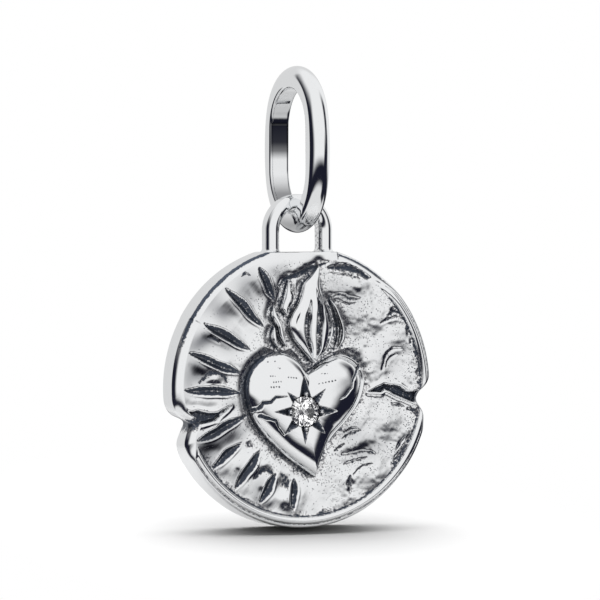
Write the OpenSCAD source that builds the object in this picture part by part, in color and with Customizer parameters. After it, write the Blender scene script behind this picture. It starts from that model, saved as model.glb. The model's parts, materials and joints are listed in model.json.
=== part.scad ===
// Heart medallion charm: a round cast medallion with a flaming heart, a star-set
// stone and carved rays, hanging by its loop from an oval bail. Sizes are millimetres.
// The medallion faces -Y, +X is to the viewer's right and +Z is up.
// The origin is the inside top of the bail, where a carrier bears.

/* [Bail] */
// Outer height of the oval ring
bail_h = 7.9; // [6.8:0.1:10]
// Outer depth of the oval ring, front to back
bail_d = 5.9; // [5:0.1:6.6]
// Thickness of the band, from its flat inside to its crown
bail_t = 1.04; // [0.8:0.02:1.3]
// Width of the band
bail_w = 1.0; // [0.8:0.05:1.3]
// Rounding of the two inner edges of the band
bail_edge_r = 0.14; // [0.05:0.01:0.2]

/* [Hanging loop] */
// Outer width of the loop
loop_w = 3.4; // [3.1:0.05:4.2]
// Thickness of the loop's strap
loop_t = 0.65; // [0.45:0.05:0.8]
// Depth of the loop's strap, front to back
loop_d = 1.05; // [0.9:0.05:1.4]
// Clear height under the arch
loop_eye_h = 2.08; // [1.9:0.02:3]
// Fillet where the legs meet the medallion
loop_fillet_r = 0.15; // [0.08:0.01:0.2]
// Space between the loop and the bail where the loop hangs
link_gap = 0.15; // [0.08:0.01:0.3]

/* [Disc] */
// Diameter of the medallion
disc_dia = 13.3; // [11.5:0.1:16]
// Thickness of the medallion, without its relief
disc_t = 1.6; // [1.5:0.05:2.4]
// Rounding of the disc's edges
disc_edge_r = 0.22; // [0.1:0.01:0.35]
// Width of the rolled rim
rim_w = 0.34; // [0.3:0.02:0.5]
// Plain edge left outside the rolled rim
rim_inset = 0.18; // [0.05:0.01:0.3]
// Angle where the rolled rim starts, below the left notch
rim_start = -154; // [-170:1:-140]
// Angle where the rolled rim ends, at the upper right
rim_end = 52; // [30:1:65]

/* [Rays and cracks] */
// Width of a carved ray
ray_w = 0.4; // [0.25:0.01:0.5]
// Depth of a carved ray
ray_depth = 0.2; // [0.1:0.01:0.35]
// Depth of the cracks that run in from the rim
crack_depth = 0.32; // [0.15:0.01:0.6]

/* [Heart] */
// Width of the heart
heart_w = 6.2; // [5.2:0.1:7]
// Height of the heart, from the tops of its lobes to its tip
heart_h = 5.9; // [5.2:0.1:6.6]
// Height of the heart's crown above the ground
heart_rise = 0.7; // [0.5:0.02:1]
// Height of the lobes' tops above the middle of the disc
heart_top = 1.65; // [1.2:0.05:2]

/* [Star setting] */
// Diameter of the stone
stone_dia = 1.46; // [1.1:0.02:1.8]
// Depth of the stone's girdle below the heart's crown
stone_sink = 0.08; // [0.02:0.01:0.15]
// Space between the stone and its seat
stone_gap = 0.03; // [0.02:0.01:0.06]
// Height of the star's middle below the tops of the lobes
star_drop = 2.77; // [2.4:0.05:3]
// Reach of the four upright arms of the star
star_long = 1.68; // [1.4:0.02:2]
// Reach of the four slanting arms of the star
star_short = 1.46; // [1.1:0.02:1.6]
// Width of the arms where they cross
star_w = 0.8; // [0.5:0.02:1]
// Depth of the arms where they cross
star_depth = 0.35; // [0.2:0.01:0.45]
// Diameter of a setting bead
bead_dia = 0.22; // [0.16:0.01:0.3]

/* [Flame] */
// Width across all the tongues of the flame
flame_w = 3.8; // [3:0.1:4.6]
// Height of the middle flame above the ground
flame_rise = 0.42; // [0.25:0.01:0.7]
// Height of the side tongues above the ground
tongue_rise = 0.3; // [0.15:0.01:0.5]
// Ground left between the flame's tip and the rim
flame_tip_gap = 0.38; // [0.3:0.02:1]
// Ground left between the flame and the heart
flame_heart_gap = 0.1; // [0.05:0.01:0.2]

/* [Hidden] */
$fn = 72;

// Small overlap that lets a cutter run past a face
past = 0.5;

// Levels on the bail, from its inside top down; the medallion swings about the centre of
// its lower end
bail_r_in = bail_d / 2 - bail_t;
bail_top_z = -bail_r_in;
bail_straight = bail_h - bail_d;
swing_z = bail_top_z - bail_straight;

// Levels on the loop, which hangs on the inside bottom of the bail
loop_r_mid = (loop_w - loop_t) / 2;
loop_r_in = loop_w / 2 - loop_t;
loop_under_z = swing_z - bail_r_in + link_gap;
loop_arch_z = loop_under_z - loop_r_in;
loop_leg_h = loop_eye_h - loop_r_in;
loop_seat_z = loop_arch_z - loop_leg_h;

// The disc has a flat at the top, just wide enough for the feet of the loop
disc_r = disc_dia / 2;
seat_margin = 0.02;
seat_half_w = loop_w / 2 + loop_fillet_r + seat_margin;
seat_v = sqrt(disc_r * disc_r - seat_half_w * seat_half_w);
disc_z = loop_seat_z - seat_v;
field_r = disc_r - rim_inset - rim_w;

// Heart, star and stone, measured on the face from the middle of the disc
heart_u = 0.05;
star_u = -0.25;
star_v = heart_top - star_drop;
stone_r = stone_dia / 2;
stone_crown_h = 0.15 * stone_dia;
stone_girdle_h = 0.04 * stone_dia;
stone_pavilion_h = 0.42 * stone_dia;
stone_table_r = 0.57 * stone_r;
girdle_h = heart_rise - stone_sink;
seat_r = stone_r + stone_gap;
seat_floor_h = girdle_h - stone_girdle_h / 2 - stone_pavilion_h - stone_gap;

// Beads stand in drilled holes at the roots of the upright arms
bead_r = bead_dia / 2;
bead_post_r = 0.4 * bead_r;
bead_hole_gap = 0.01;
bead_wall = 0.01;
bead_reach = seat_r + bead_wall + bead_hole_gap + bead_post_r;
bead_h = girdle_h + stone_girdle_h / 2 + stone_gap + bead_r;
bead_foot_h = girdle_h / 2;

// Half outlines of the heart, across in half widths and down in heights
heart_left = [
    [0.01, -0.16], [-0.18, -0.05], [-0.45, 0], [-0.76, -0.05], [-0.965, -0.18],
    [-0.985, -0.36], [-0.83, -0.57], [-0.41, -0.80], [0.14, -1]
];
heart_right = [
    [0.14, -1], [0.25, -0.84], [0.41, -0.69], [0.67, -0.55], [0.89, -0.40], [0.98, -0.24],
    [0.93, -0.14], [0.80, -0.06], [0.54, -0.02], [0.24, -0.09], [0.01, -0.16]
];

// Edges of the flame's pieces from base to tip, across in flame widths from the flame's
// middle and up in flame heights from the tops of the heart's lobes
flame_u = 0.2;
flame_h = field_r - flame_tip_gap - heart_top;
core_left = [
    [0.04, -0.12], [-0.10, 0.03], [-0.23, 0.19], [-0.27, 0.33], [-0.20, 0.48],
    [-0.09, 0.64], [-0.03, 0.80], [0.08, 0.89], [0.145, 1]
];
core_right = [
    [0.04, -0.12], [0.21, -0.01], [0.31, 0.13], [0.345, 0.29], [0.29, 0.46],
    [0.21, 0.61], [0.16, 0.76], [0.155, 0.89], [0.145, 1]
];
left_upper_left = [[-0.32, 0.43], [-0.38, 0.51], [-0.34, 0.63], [-0.31, 0.73], [-0.28, 0.83]];
left_upper_right = [[-0.32, 0.43], [-0.26, 0.52], [-0.20, 0.62], [-0.24, 0.72], [-0.28, 0.83]];
left_lower_left = [[-0.33, 0.07], [-0.41, 0.18], [-0.44, 0.30], [-0.50, 0.42], [-0.48, 0.53]];
left_lower_right = [[-0.33, 0.07], [-0.35, 0.20], [-0.38, 0.32], [-0.44, 0.44], [-0.48, 0.53]];
lick_left = [[-0.43, 0.05], [-0.50, 0.14], [-0.505, 0.22], [-0.47, 0.30]];
lick_right = [[-0.43, 0.05], [-0.445, 0.13], [-0.455, 0.21], [-0.47, 0.30]];
right_left = [[0.36, 0.04], [0.40, 0.16], [0.405, 0.30], [0.355, 0.47], [0.29, 0.61]];
right_right = [[0.36, 0.04], [0.48, 0.13], [0.49, 0.24], [0.44, 0.38], [0.37, 0.53], [0.29, 0.61]];

// Carved rays: angle of the outer end and how far it stays inside the field, which some
// rays run past where there is no rim, then angle and radius of the inner end
ray_layout = [
    [112.5, -0.02, 110, 4.35], [131, -0.15, 126, 3.5], [149.5, 0.07, 147, 3.3], [164, -0.13, 168, 3.3],
    [180.5, -0.1, 183.5, 3.25], [204, 0.05, 203.5, 3.4], [218, 0.07, 218, 4.1], [233, 0.2, 232, 3.7],
    [247, 0.24, 250, 4.3], [264.5, 0.27, 263, 4.3]
];

// Notches from rim to rim and cracks, given as the distance in from the rim's widest
// point and the height on the face
left_notch = [
    [0, -0.6], [0.16, -0.95], [0.3, -1.17], [0.53, -1.32], [0.81, -1.4], [1.03, -1.53], [1.08, -1.66],
    [0.97, -1.85], [0.81, -2.19], [0.69, -2.49], [0.68, -2.7], [0.75, -2.95], [0.8, -3.2]
];
right_notch = [
    [0, 0.45], [0.11, 0.19], [0.21, 0], [0.42, -0.16], [0.61, -0.32], [0.71, -0.47], [0.73, -0.65],
    [0.66, -0.87], [0.46, -1.08], [0.34, -1.3], [0.31, -1.52], [0.33, -1.85], [0.35, -2.15]
];
left_crack = [
    [0, -1.05], [0.6, -1.08], [1.15, -1.03], [1.7, -1.15], [2.2, -1.12], [2.8, -0.85],
    [2.35, -1.25], [2.1, -1.45], [1.25, -1.65], [0.6, -2], [0, -2.2]
];
right_crack = [
    [0, 0], [0.6, -0.2], [0.95, -0.3], [1.25, -0.27], [1.6, -0.05], [2.0, 0], [2.45, 0.1],
    [2.75, -0.02], [3.3, -0.27], [2.6, -0.26], [2.4, -0.15], [1.6, -0.52], [0.7, -0.85], [0, -1.1]
];

silver_tone = "silver";
relief_tone = "gainsboro";
dark_tone = "slategray";
stone_tone = "azure";

// Curve through hand-placed points, with the same number of steps on each stretch
function curve_point(a, b, c, d, t) =
    0.5 * (2 * b + (c - a) * t + (2 * a - 5 * b + 4 * c - d) * t * t + (3 * b - a - 3 * c + d) * t * t * t);
function curve(points, steps) = [
    for (k = [0 : steps])
        let (
            last = len(points) - 1,
            along = k * last / steps,
            i = min(floor(along), last - 1)
        )
        curve_point(points[max(i - 1, 0)], points[i], points[i + 1], points[min(i + 2, last)], along - i)
];
function without_last(points) = [for (i = [0 : len(points) - 2]) points[i]];

// Heart outline on the face, grown evenly about its star by the factor given
heart_steps = 28;
heart_outline = [
    for (half = [heart_left, heart_right])
        for (p = without_last(curve(half, heart_steps)))
            [heart_u + p[0] * heart_w / 2, heart_top + p[1] * heart_h]
];
function about_star(points, factor) = [
    for (p = points) [star_u + (p[0] - star_u) * factor, star_v + (p[1] - star_v) * factor]
];

// Shares of the outline at which the heart's dome has a ring, and the dome's height there
dome_rings = [1, 0.985, 0.95, 0.89, 0.8, 0.68, 0.53, 0.36, 0.18];
dome_power = 3;
dome_wall = 0.2;
function dome_height(share) = heart_rise * (dome_wall + (1 - dome_wall) * sqrt(1 - pow(share, dome_power)));

// Distance from the star's middle to the heart's outline in one direction
function turned(p, angle) = [
    (p[0] - star_u) * cos(angle) + (p[1] - star_v) * sin(angle),
    (p[1] - star_v) * cos(angle) - (p[0] - star_u) * sin(angle)
];
function edge_distance(angle) = max([
    for (j = [0 : len(heart_outline) - 1])
        let (
            p = turned(heart_outline[j], angle),
            q = turned(heart_outline[(j + 1) % len(heart_outline)], angle)
        )
        if (p[1] <= 0 && q[1] > 0) p[0] - p[1] * (q[0] - p[0]) / (q[1] - p[1])
]);

// Puts what is drawn on the face (across, up, out of the face) in its place
module on_face() {
    translate([0, -disc_t / 2, disc_z])
        rotate([90, 0, 0])
            children();
}

// Flat-sided band with a round crown and softened inner edges, outwards along +X
module bail_section() {
    crown_r = bail_w / 2;
    inner_half = bail_w / 2 - bail_edge_r;
    translate([bail_t - crown_r, 0])
        circle(crown_r);
    translate([bail_edge_r, -bail_w / 2])
        square([bail_t - crown_r - bail_edge_r, bail_w]);
    translate([0, -inner_half])
        square([bail_edge_r, 2 * inner_half]);
    for (side = [-1, 1])
        translate([bail_edge_r, side * inner_half])
            circle(bail_edge_r);
}

module bail_end(level, turn) {
    translate([0, 0, level])
        rotate([90, 0, 90])
            rotate([0, 0, turn])
                rotate_extrude(angle = 180)
                    translate([bail_r_in, 0])
                        bail_section();
}

module bail() {
    color(silver_tone)
        union() {
            bail_end(bail_top_z, 0);
            bail_end(swing_z, 180);
            for (turn = [-90, 90])
                translate([0, 0, swing_z])
                    rotate([0, 0, turn])
                        translate([bail_r_in, 0, 0])
                            linear_extrude(bail_straight)
                                bail_section();
        }
}

// Section of the loop's strap, round at the front and the back
module loop_section() {
    flat = loop_d - loop_t;
    square([loop_t, flat], center = true);
    for (side = [-1, 1])
        translate([0, side * flat / 2])
            circle(loop_t / 2);
}

// Half of a leg seen from the front, with the fillet at its foot
module leg_half() {
    difference() {
        square([loop_t / 2 + loop_fillet_r, loop_leg_h]);
        translate([loop_t / 2, loop_fillet_r])
            square([2 * loop_fillet_r, loop_leg_h]);
        translate([loop_t / 2 + loop_fillet_r, loop_fillet_r])
            circle(loop_fillet_r);
    }
}

module loop_leg() {
    flat = loop_d - loop_t;
    for (side = [-1, 1])
        translate([0, side * flat / 2, 0])
            rotate_extrude()
                leg_half();
    translate([0, flat / 2, 0])
        rotate([90, 0, 0])
            linear_extrude(flat)
                union() {
                    leg_half();
                    mirror([1, 0])
                        leg_half();
                }
}

module hanging_loop() {
    color(silver_tone)
        union() {
            translate([0, 0, loop_arch_z])
                rotate([90, 0, 0])
                    rotate_extrude(angle = 180)
                        translate([loop_r_mid, 0])
                            loop_section();
            for (side = [-1, 1])
                translate([side * loop_r_mid, 0, loop_seat_z])
                    loop_leg();
        }
}

// Half section of the disc with rounded edges, front face at zero
module disc_section() {
    core_r = disc_r - disc_edge_r;
    translate([0, -disc_t])
        square([core_r, disc_t]);
    translate([0, disc_edge_r - disc_t])
        square([disc_r, disc_t - 2 * disc_edge_r]);
    for (level = [-disc_edge_r, disc_edge_r - disc_t])
        translate([core_r, level])
            circle(disc_edge_r);
}

// Half-round rim with ball ends that stands on part of the edge
module rolled_rim() {
    rim_r = rim_w / 2;
    rim_mid_r = field_r + rim_r;
    rotate([0, 0, rim_start])
        rotate_extrude(angle = rim_end - rim_start)
            translate([rim_mid_r, 0])
                circle(rim_r);
    for (turn = [rim_start, rim_end])
        rotate([0, 0, turn])
            translate([rim_mid_r, 0, 0])
                sphere(rim_r);
}

// Cutter with a V section along +X; its keel is a list of places along it and heights there
module graver(keel, slope, top) {
    last = len(keel) - 1;
    points = [
        for (k = keel)
            let (half = slope * (top - k[1]))
            each [[k[0], -half, top], [k[0], 0, k[1]], [k[0], half, top]]
    ];
    faces = [
        for (i = [0 : last - 1])
            let (a = 3 * i, b = a + 1, c = a + 2)
            each [[a, a + 3, b + 3, b], [c + 3, c, b, b + 3], [a, c, c + 3, a + 3]]
    ];
    polyhedron(points = points, faces = concat(faces, [[2, 0, 1], [3 * last, 3 * last + 2, 3 * last + 1]]));
}

// Carved ray between two points on the face: it dips in the middle and runs out at both ends
module ray(outer, inner) {
    steps = 8;
    run = outer - inner;
    middle = (outer + inner) / 2;
    half = norm(run) / 2;
    keel = [for (i = [0 : steps]) let (t = 2 * i / steps - 1) [half * t, -ray_depth * (1 - t * t)]];
    translate([middle[0], middle[1], 0])
        rotate([0, 0, atan2(run[1], run[0])])
            graver(keel, ray_w / 2 / ray_depth, rim_w);
}

module rays() {
    for (r = ray_layout)
        ray((field_r - r[1]) * [cos(r[0]), sin(r[0])], r[3] * [cos(r[2]), sin(r[2])]);
}

// Prism of an outline given from the rim inwards, on the left (-1) or the right (1);
// it closes outside the rim
module rim_cut(outline, side, depth) {
    closing = [[-past, outline[len(outline) - 1][1]], [-past, outline[0][1]]];
    translate([0, 0, -depth])
        linear_extrude(depth + rim_w)
            polygon([for (p = concat(outline, closing)) [side * (disc_r - p[0]), p[1]]]);
}

module medallion_disc() {
    color(dark_tone)
        on_face()
            difference() {
                union() {
                    rotate_extrude()
                        disc_section();
                    rolled_rim();
                }
                translate([-disc_r, seat_v, -disc_t - past])
                    cube([disc_dia, disc_r, disc_t + 2 * past]);
                rays();
                rim_cut(left_notch, -1, disc_t + past);
                rim_cut(right_notch, 1, disc_t + past);
                rim_cut(left_crack, -1, crack_depth);
                rim_cut(right_crack, 1, crack_depth);
                stone_seat();
            }
}

// Domed heart: rings of its outline drawn in towards the star and lifted
module heart_dome() {
    n = len(heart_outline);
    rings = len(dome_rings);
    foot = [for (p = heart_outline) [p[0], p[1], 0]];
    shell = [
        for (share = dome_rings)
            for (p = about_star(heart_outline, share)) [p[0], p[1], dome_height(share)]
    ];
    crown = n * (rings + 1);
    sides = [
        for (r = [0 : rings - 1])
            for (j = [0 : n - 1])
                let (a = r * n + j, b = r * n + (j + 1) % n)
                each [[a, a + n, b + n], [a, b + n, b]]
    ];
    cap = [for (j = [0 : n - 1]) [rings * n + j, crown, rings * n + (j + 1) % n]];
    polyhedron(
        points = concat(foot, shell, [[star_u, star_v, heart_rise]]),
        faces = concat([[for (j = [0 : n - 1]) j]], sides, cap),
        convexity = 4
    );
}

// Eight arms that run out on the dome; none comes near the heart's edge
module star_cut() {
    edge_share = 0.86;
    for (turn = [0 : 45 : 315]) {
        edge = edge_distance(turn);
        reach = min(turn % 90 == 0 ? star_long : star_short, edge_share * edge);
        keel = [[0, heart_rise - star_depth], [reach, dome_height(reach / edge)]];
        translate([star_u, star_v, 0])
            rotate([0, 0, turn])
                graver(keel, star_w / 2 / star_depth, heart_rise + star_depth);
    }
}

module stone_seat() {
    translate([star_u, star_v, seat_floor_h])
        cylinder(h = heart_rise - seat_floor_h + past, r = seat_r);
}

// Places one child at each setting bead
module at_beads() {
    translate([star_u, star_v, 0])
        for (turn = [0 : 90 : 270])
            rotate([0, 0, turn])
                translate([bead_reach, 0, 0])
                    children();
}

module heart() {
    color(relief_tone)
        on_face()
            difference() {
                heart_dome();
                star_cut();
                stone_seat();
                at_beads()
                    translate([0, 0, bead_foot_h])
                        cylinder(h = heart_rise, r = bead_post_r + bead_hole_gap);
            }
}

module setting_beads() {
    color(silver_tone)
        on_face()
            at_beads() {
                translate([0, 0, bead_foot_h])
                    cylinder(h = bead_h - bead_foot_h, r = bead_post_r);
                translate([0, 0, bead_h])
                    sphere(bead_r);
            }
}

// Tongue with a flat foot, drawn between two edges; it may carry grooves that run its length
module tongue(left, right, rise, stations, cells, grooves) {
    groove_depth = 0.5;
    l = curve(left, stations);
    r = curve(right, stations);
    across = [for (k = [0 : cells]) 2 * k / cells - 1];
    function groove(t) = groove_depth * (0.5 - 0.5 * cos(180 * grooves * (t + 1)));
    function section(t) = sqrt(1 - pow(t, 4)) * (1 - groove(t));
    function place(p, height) = [flame_u + p[0] * flame_w, heart_top + p[1] * flame_h, height];
    function at(i, k) = 2 + (i - 1) * (cells + 1) + k;
    function height(i, k) = rise * pow(sin(180 * i / stations), 0.5) * section(across[k]);
    skin = [
        for (i = [1 : stations - 1])
            for (k = [0 : cells])
                place(l[i] + (r[i] - l[i]) * k / cells, height(i, k))
    ];
    sides = [
        for (i = [1 : stations - 2])
            for (k = [0 : cells - 1])
                each [[at(i, k), at(i + 1, k), at(i + 1, k + 1)], [at(i, k), at(i + 1, k + 1), at(i, k + 1)]]
    ];
    ends = [
        for (k = [0 : cells - 1])
            each [[0, at(1, k), at(1, k + 1)], [at(stations - 1, k), 1, at(stations - 1, k + 1)]]
    ];
    foot = [
        for (i = [1 : stations - 2])
            each [[at(i, cells), at(i + 1, cells), at(i + 1, 0)], [at(i, cells), at(i + 1, 0), at(i, 0)]]
    ];
    foot_ends = [[0, at(1, cells), at(1, 0)], [at(stations - 1, cells), 1, at(stations - 1, 0)]];
    polyhedron(
        points = concat([place(l[0], 0), place(l[stations], 0)], skin),
        faces = concat(sides, ends, foot, foot_ends),
        convexity = 6
    );
}

module flame_core() {
    stations = 18;
    cells = 24;
    grooves = 4;
    gap_factor = 1 + flame_heart_gap / (star_drop / 2);
    color(relief_tone)
        on_face()
            difference() {
                tongue(core_left, core_right, flame_rise, stations, cells, grooves);
                translate([0, 0, -past])
                    linear_extrude(heart_rise + 2 * past)
                        polygon(about_star(heart_outline, gap_factor));
            }
}

module side_tongue(left, right) {
    stations = 12;
    cells = 6;
    color(relief_tone)
        on_face()
            tongue(left, right, tongue_rise, stations, cells, 0);
}

module flame_tongue_left_upper() {
    side_tongue(left_upper_left, left_upper_right);
}

module flame_tongue_left_lower() {
    side_tongue(left_lower_left, left_lower_right);
}

module flame_lick_left() {
    side_tongue(lick_left, lick_right);
}

module flame_tongue_right() {
    side_tongue(right_left, right_right);
}

// Round brilliant: table, star, kite and girdle facets above, pavilion facets below
module stone() {
    mains = 8;
    step = 360 / mains;
    kite_r = 0.79 * stone_r;
    kite_h = 0.55 * stone_crown_h;
    keel_r = 0.22 * stone_r;
    keel_h = 0.8 * stone_pavilion_h;
    half_girdle = stone_girdle_h / 2;
    function round_point(radius, angle, height) = [radius * cos(angle), radius * sin(angle), height];
    table = [for (i = [0 : mains - 1]) round_point(stone_table_r, i * step, half_girdle + stone_crown_h)];
    kites = [for (i = [0 : mains - 1]) round_point(kite_r, (i + 0.5) * step, half_girdle + kite_h)];
    upper = [for (i = [0 : 2 * mains - 1]) round_point(stone_r, i * step / 2, half_girdle)];
    lower = [for (i = [0 : 2 * mains - 1]) round_point(stone_r, i * step / 2, -half_girdle)];
    keels = [for (i = [0 : mains - 1]) round_point(keel_r, (i + 0.5) * step, -half_girdle - keel_h)];
    culet = [0, 0, -half_girdle - stone_pavilion_h];
    k0 = mains;
    u0 = k0 + mains;
    w0 = u0 + 2 * mains;
    p0 = w0 + 2 * mains;
    tip = p0 + mains;
    facets = [
        for (i = [0 : mains - 1])
            let (
                next = (i + 1) % mains,
                kite = k0 + i,
                ua = u0 + 2 * i, ub = ua + 1, uc = u0 + 2 * next,
                wa = w0 + 2 * i, wb = wa + 1, wc = w0 + 2 * next,
                keel = p0 + i
            )
            each [
                [i, next, kite], [i, kite, ua], [next, uc, kite],
                [kite, ub, ua], [kite, uc, ub],
                [ua, ub, wb], [ua, wb, wa], [ub, uc, wc], [ub, wc, wb],
                [wa, wb, keel], [wb, wc, keel],
                [wa, keel, tip], [wc, tip, keel]
            ]
    ];
    color(stone_tone)
        on_face()
            translate([star_u, star_v, girdle_h])
                polyhedron(
                    points = concat(table, kites, upper, lower, keels, [culet]),
                    faces = concat([[for (i = [0 : mains - 1]) mains - 1 - i]], facets)
                );
}

bail();
medallion_disc();
hanging_loop();
heart();
flame_core();
flame_tongue_left_upper();
flame_tongue_left_lower();
flame_lick_left();
flame_tongue_right();
stone();
setting_beads();
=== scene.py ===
import json
import math

import bpy
import numpy as np
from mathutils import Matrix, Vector


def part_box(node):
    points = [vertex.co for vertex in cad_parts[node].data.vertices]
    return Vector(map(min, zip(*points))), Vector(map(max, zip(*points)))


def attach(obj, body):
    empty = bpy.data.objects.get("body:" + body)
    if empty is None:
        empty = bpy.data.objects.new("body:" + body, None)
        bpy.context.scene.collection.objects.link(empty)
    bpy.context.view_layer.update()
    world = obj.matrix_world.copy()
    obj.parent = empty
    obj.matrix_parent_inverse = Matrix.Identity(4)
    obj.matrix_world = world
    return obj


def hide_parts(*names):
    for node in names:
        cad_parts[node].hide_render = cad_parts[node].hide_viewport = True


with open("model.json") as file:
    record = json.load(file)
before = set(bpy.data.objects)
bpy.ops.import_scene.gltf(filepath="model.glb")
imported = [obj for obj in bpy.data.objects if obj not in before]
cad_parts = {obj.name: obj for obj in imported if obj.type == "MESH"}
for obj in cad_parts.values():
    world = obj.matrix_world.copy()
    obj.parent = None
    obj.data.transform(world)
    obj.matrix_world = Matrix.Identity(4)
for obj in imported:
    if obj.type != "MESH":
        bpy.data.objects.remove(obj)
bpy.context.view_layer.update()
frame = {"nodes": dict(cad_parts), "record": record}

mm = 0.001  # lengths below are millimetres on the real charm, and ringMesh turns them into metres

# the medallion's back face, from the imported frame
backFace = next(mount["pos_m"] for mount in frame["record"]["mounts"] if mount["name"] == "back_face")
halfThick, discZ = backFace[1] / mm, backFace[2] / mm


def boxOf(node):
    low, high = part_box(node)
    return np.array(low) / mm, np.array(high) / mm


# small maths for the surfaces

noiseCells = 64


def smooth(low, high, x):
    t = np.clip((x - low) / (high - low), 0, 1)
    return t * t * (3 - 2 * t)


def bell(x, width):
    return np.exp(-(x / width) ** 2)


def between(a, b, c, d, x):  # rises from a to b and falls from c to d
    return smooth(a, b, x) * (1 - smooth(c, d, x))


def polar(radius, turn, middle=(0, 0)):
    return middle[0] + radius * np.cos(turn), middle[1] + radius * np.sin(turn)


def alongAcross(u, v, a, b, turn):  # distances along and across a turned line through a point
    c, s = math.cos(turn), math.sin(turn)
    return (u - a) * c + (v - b) * s, (v - b) * c - (u - a) * s


def curve(points, count):  # even steps along a curve through listed points
    p = np.array(points, float)
    last = len(p) - 1
    along = np.linspace(0, last, count)
    i = np.minimum(along.astype(int), last - 1)
    t = (along - i)[:, None]
    a, b, c, d = p[np.maximum(i - 1, 0)], p[i], p[i + 1], p[np.minimum(i + 2, last)]
    return 0.5 * (2 * b + (c - a) * t + (2 * a - 5 * b + 4 * c - d) * t**2 + (3 * b - a - 3 * c + d) * t**3)


def hammerNoise(u, v, size, seed):  # smooth bumps of about that size, from -1 to 1
    table = np.random.default_rng(seed).uniform(-1, 1, (noiseCells, noiseCells))
    x, y = u / size, v / size
    i, j = np.floor(x).astype(int), np.floor(y).astype(int)
    a, b = x - i, y - j
    a, b = a * a * (3 - 2 * a), b * b * (3 - 2 * b)

    def at(m, n):
        return table[m % noiseCells, n % noiseCells]

    low = at(i, j) * (1 - a) + at(i + 1, j) * a
    high = at(i, j + 1) * (1 - a) + at(i + 1, j + 1) * a
    return low * (1 - b) + high * b


def turnedPatch(u, v, a, b, long, wide, turn):  # a soft oval patch, and the distance across it
    x, y = alongAcross(u, v, a, b, math.radians(turn))
    return np.exp(-(x / long) ** 2 - (y / wide) ** 2), y


def lineDistance(u, v, points):  # distance to a run of points, and how far along the run that is
    p = np.array(points, float)
    spans = np.hypot(*np.diff(p, axis=0).T)
    best, share, start = np.full(u.shape, np.inf), np.zeros(u.shape), 0.0
    for a, b, span in zip(p[:-1], p[1:], spans):
        t = np.clip(((u - a[0]) * (b[0] - a[0]) + (v - a[1]) * (b[1] - a[1])) / span**2, 0, 1)
        d = np.hypot(u - a[0] - t * (b[0] - a[0]), v - a[1] - t * (b[1] - a[1]))
        share = np.where(d < best, (start + t * span) / spans.sum(), share)
        best = np.minimum(best, d)
        start += span
    return best, share


def outlineDistance(u, v, points):  # distance to a closed outline, negative inside it
    p = np.array(points, float)
    closed = np.vstack([p, p[:1]])
    away, _ = lineDistance(u, v, closed)
    inside = np.zeros(u.shape, bool)
    for a, b in zip(closed[:-1], closed[1:]):
        if a[1] != b[1]:
            crossing = (b[0] - a[0]) * (v - a[1]) / (b[1] - a[1]) + a[0]
            inside ^= ((a[1] > v) != (b[1] > v)) & (u < crossing)
    return np.where(inside, -away, away)


def onFace(u, v, h):  # across, up and out of the decorated face
    u, v, h = np.broadcast_arrays(u, v, h)
    return np.stack([u, -halfThick - h, discZ + v], axis=-1)


def ringMesh(name, rings, start=None, end=None, closed=False, marks=None):
    # rows of points that each close on themselves, with an optional point at both ends
    rows, cols = rings.shape[:2]
    points = rings.reshape(-1, 3)
    index = np.arange(rows * cols).reshape(rows, cols)
    nextRow = np.roll(index, -1, axis=0) if closed else index[1:]
    row = index if closed else index[:-1]
    quads = np.stack([row, np.roll(row, -1, 1), np.roll(nextRow, -1, 1), nextRow], axis=-1).reshape(-1, 4)
    faces = quads.tolist()
    for tip, ring, turned in ((start, index[0], True), (end, index[-1], False)):
        if tip is not None:
            points = np.vstack([points, tip])
            pole = len(points) - 1
            pairs = zip(ring.tolist(), np.roll(ring, -1).tolist())
            faces += [[b, a, pole] if turned else [a, b, pole] for a, b in pairs]
    a, b, c, d = (points[quads[:, k]] for k in range(4))
    volume = np.einsum("ij,ij->", a, np.cross(b, c)) + np.einsum("ij,ij->", a, np.cross(c, d))
    if volume < 0:
        faces = [f[::-1] for f in faces]
    mesh = bpy.data.meshes.new(name)
    mesh.from_pydata((points * mm).tolist(), [], faces)
    for mark, values in (marks or {}).items():
        layer = mesh.attributes.new(mark, "FLOAT", "POINT")
        full = np.zeros(len(points), np.float32)
        full[: rows * cols] = np.asarray(values, np.float32).reshape(-1)
        layer.data.foreach_set("value", full)
    mesh.shade_smooth()
    mesh.update()
    piece = bpy.data.objects.new(name, mesh)
    bpy.context.scene.collection.objects.link(piece)
    return piece


def seat(piece, body, slot, material, *nodes):
    piece.data.materials.append(material)
    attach(piece, body)
    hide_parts(*nodes)


# short ways to place shader nodes

number, colour = "NodeSocketFloat", "NodeSocketColor"


def grey(level):
    return (level, level, level, 1)


def newGroup(name, inputs, outputs):
    group = bpy.data.node_groups.new(name, "ShaderNodeTree")
    for label, kind, value in inputs:
        socket = group.interface.new_socket(label, in_out="INPUT", socket_type=kind)
        socket.default_value = value
    for label, kind in outputs:
        group.interface.new_socket(label, in_out="OUTPUT", socket_type=kind)
    return group, group.nodes.new("NodeGroupInput").outputs, group.nodes.new("NodeGroupOutput").inputs


def newMaterial(name):
    material = bpy.data.materials.new(name)
    material.use_nodes = True
    return material, material.node_tree


def addNode(tree, kind, links=None, **settings):
    made = tree.nodes.new(kind)
    for key, value in settings.items():
        setattr(made, key, value)
    for socket, source in (links or {}).items():
        if isinstance(source, bpy.types.NodeSocket):
            tree.links.new(source, made.inputs[socket])
        else:
            made.inputs[socket].default_value = source
    return made


def maths(tree, operation, a, b=0.0):
    return addNode(tree, "ShaderNodeMath", {0: a, 1: b}, operation=operation).outputs[0]


def times(tree, a, b):
    return maths(tree, "MULTIPLY", a, b)


def vectorMaths(tree, operation, a, b=(0, 0, 0)):
    return addNode(tree, "ShaderNodeVectorMath", {0: a, 1: b}, operation=operation).outputs


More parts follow.
